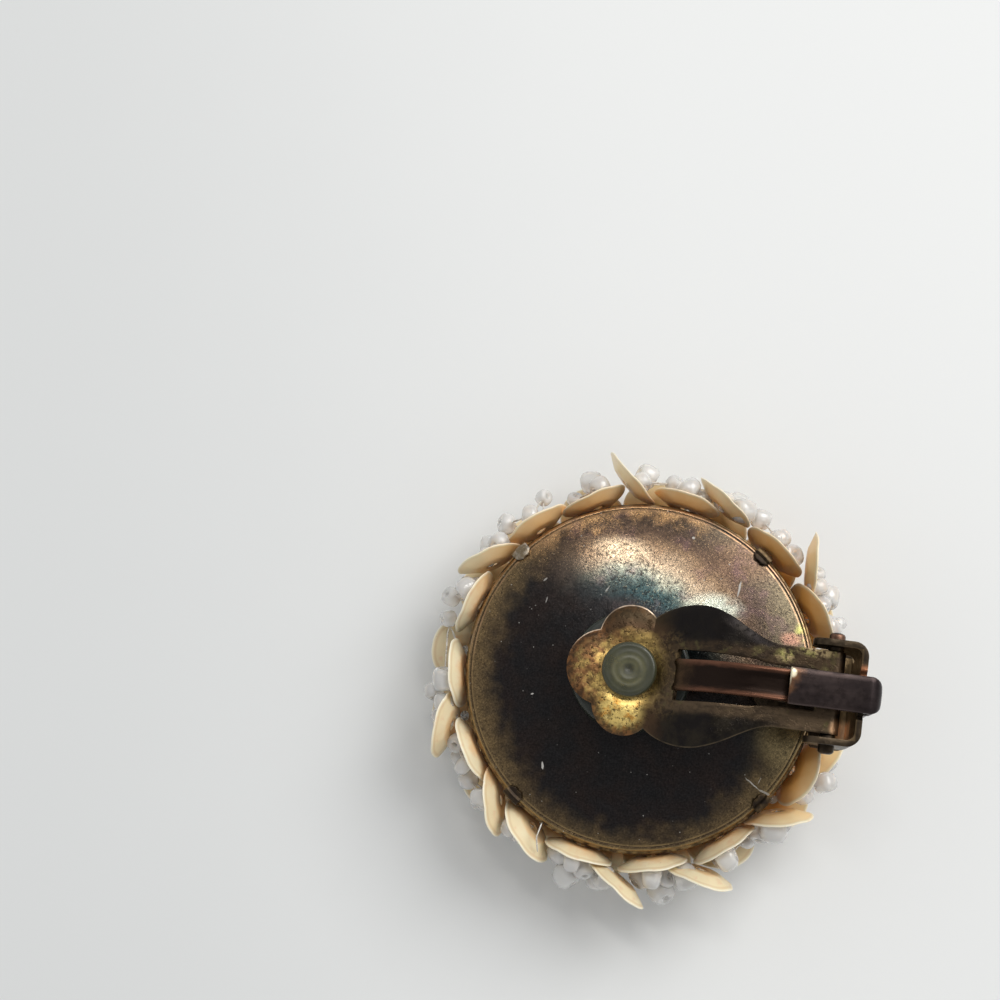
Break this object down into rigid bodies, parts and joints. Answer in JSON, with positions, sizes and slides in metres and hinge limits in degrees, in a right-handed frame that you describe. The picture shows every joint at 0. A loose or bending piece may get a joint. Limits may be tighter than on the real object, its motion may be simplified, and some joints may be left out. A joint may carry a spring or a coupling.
{
  "type": "clip-on earring",
  "caption": "Round clip-on earring lying on its beaded face: domed plate with a hinged spring clip and ear pad, ringed by shingled cupped petals holding small beads.",
  "frame": {"origin": "middle of the back plate's outer face, where the ear lobe is gripped", "axes": "+Z out of the back plate, up as the earring lies on its beaded face; +X from the ear pad to the hinge; +Y across the clip"},
  "size_m": [0.0324, 0.0329, 0.0157],
  "materials": {
    "tarnished_plate": "tarnished satin",
    "plain_screen": "tarnished satin",
    "worn_bracket": "worn and tarnished",
    "dark_spring": "dark satin",
    "worn_lever": "worn and tarnished",
    "clear_pad": "satin, translucent",
    "petal": "satin"
  },
  "bodies": {
    "earring": {"back_plate": "tarnished_plate", "front_screen": "plain_screen", "hinge_bracket": "worn_bracket", "spring_strip": "dark_spring", "rim_petal_01": "petal", "rim_petal_02": "petal", "rim_petal_03": "petal", "rim_petal_04": "petal", "rim_petal_05": "petal", "rim_petal_06": "petal", "rim_petal_07": "petal", "rim_petal_08": "petal", "rim_petal_09": "petal", "rim_petal_10": "petal", "rim_petal_11": "petal", "rim_petal_12": "petal", "rim_petal_13": "petal", "rim_petal_14": "petal", "rim_petal_15": "petal", "rim_petal_16": "petal", "rim_petal_17": "petal", "rim_petal_18": "petal", "rim_petal_19": "petal", "rim_petal_20": "petal", "rim_petal_21": "petal", "rim_petal_22": "petal", "petals_side": "petal", "petals_front": "petal"},
    "lever": {"clip_lever": "worn_lever", "ear_pad": "clear_pad"}
  },
  "joints": [
    {"name": "clip_hinge", "type": "hinge", "parent": "earring", "child": "lever", "pos_m": [0.0133, 0, 0.0045], "axis": [0, 1, 0], "range_deg": [0, 55], "deforming": ["spring_strip"]}
  ]
}
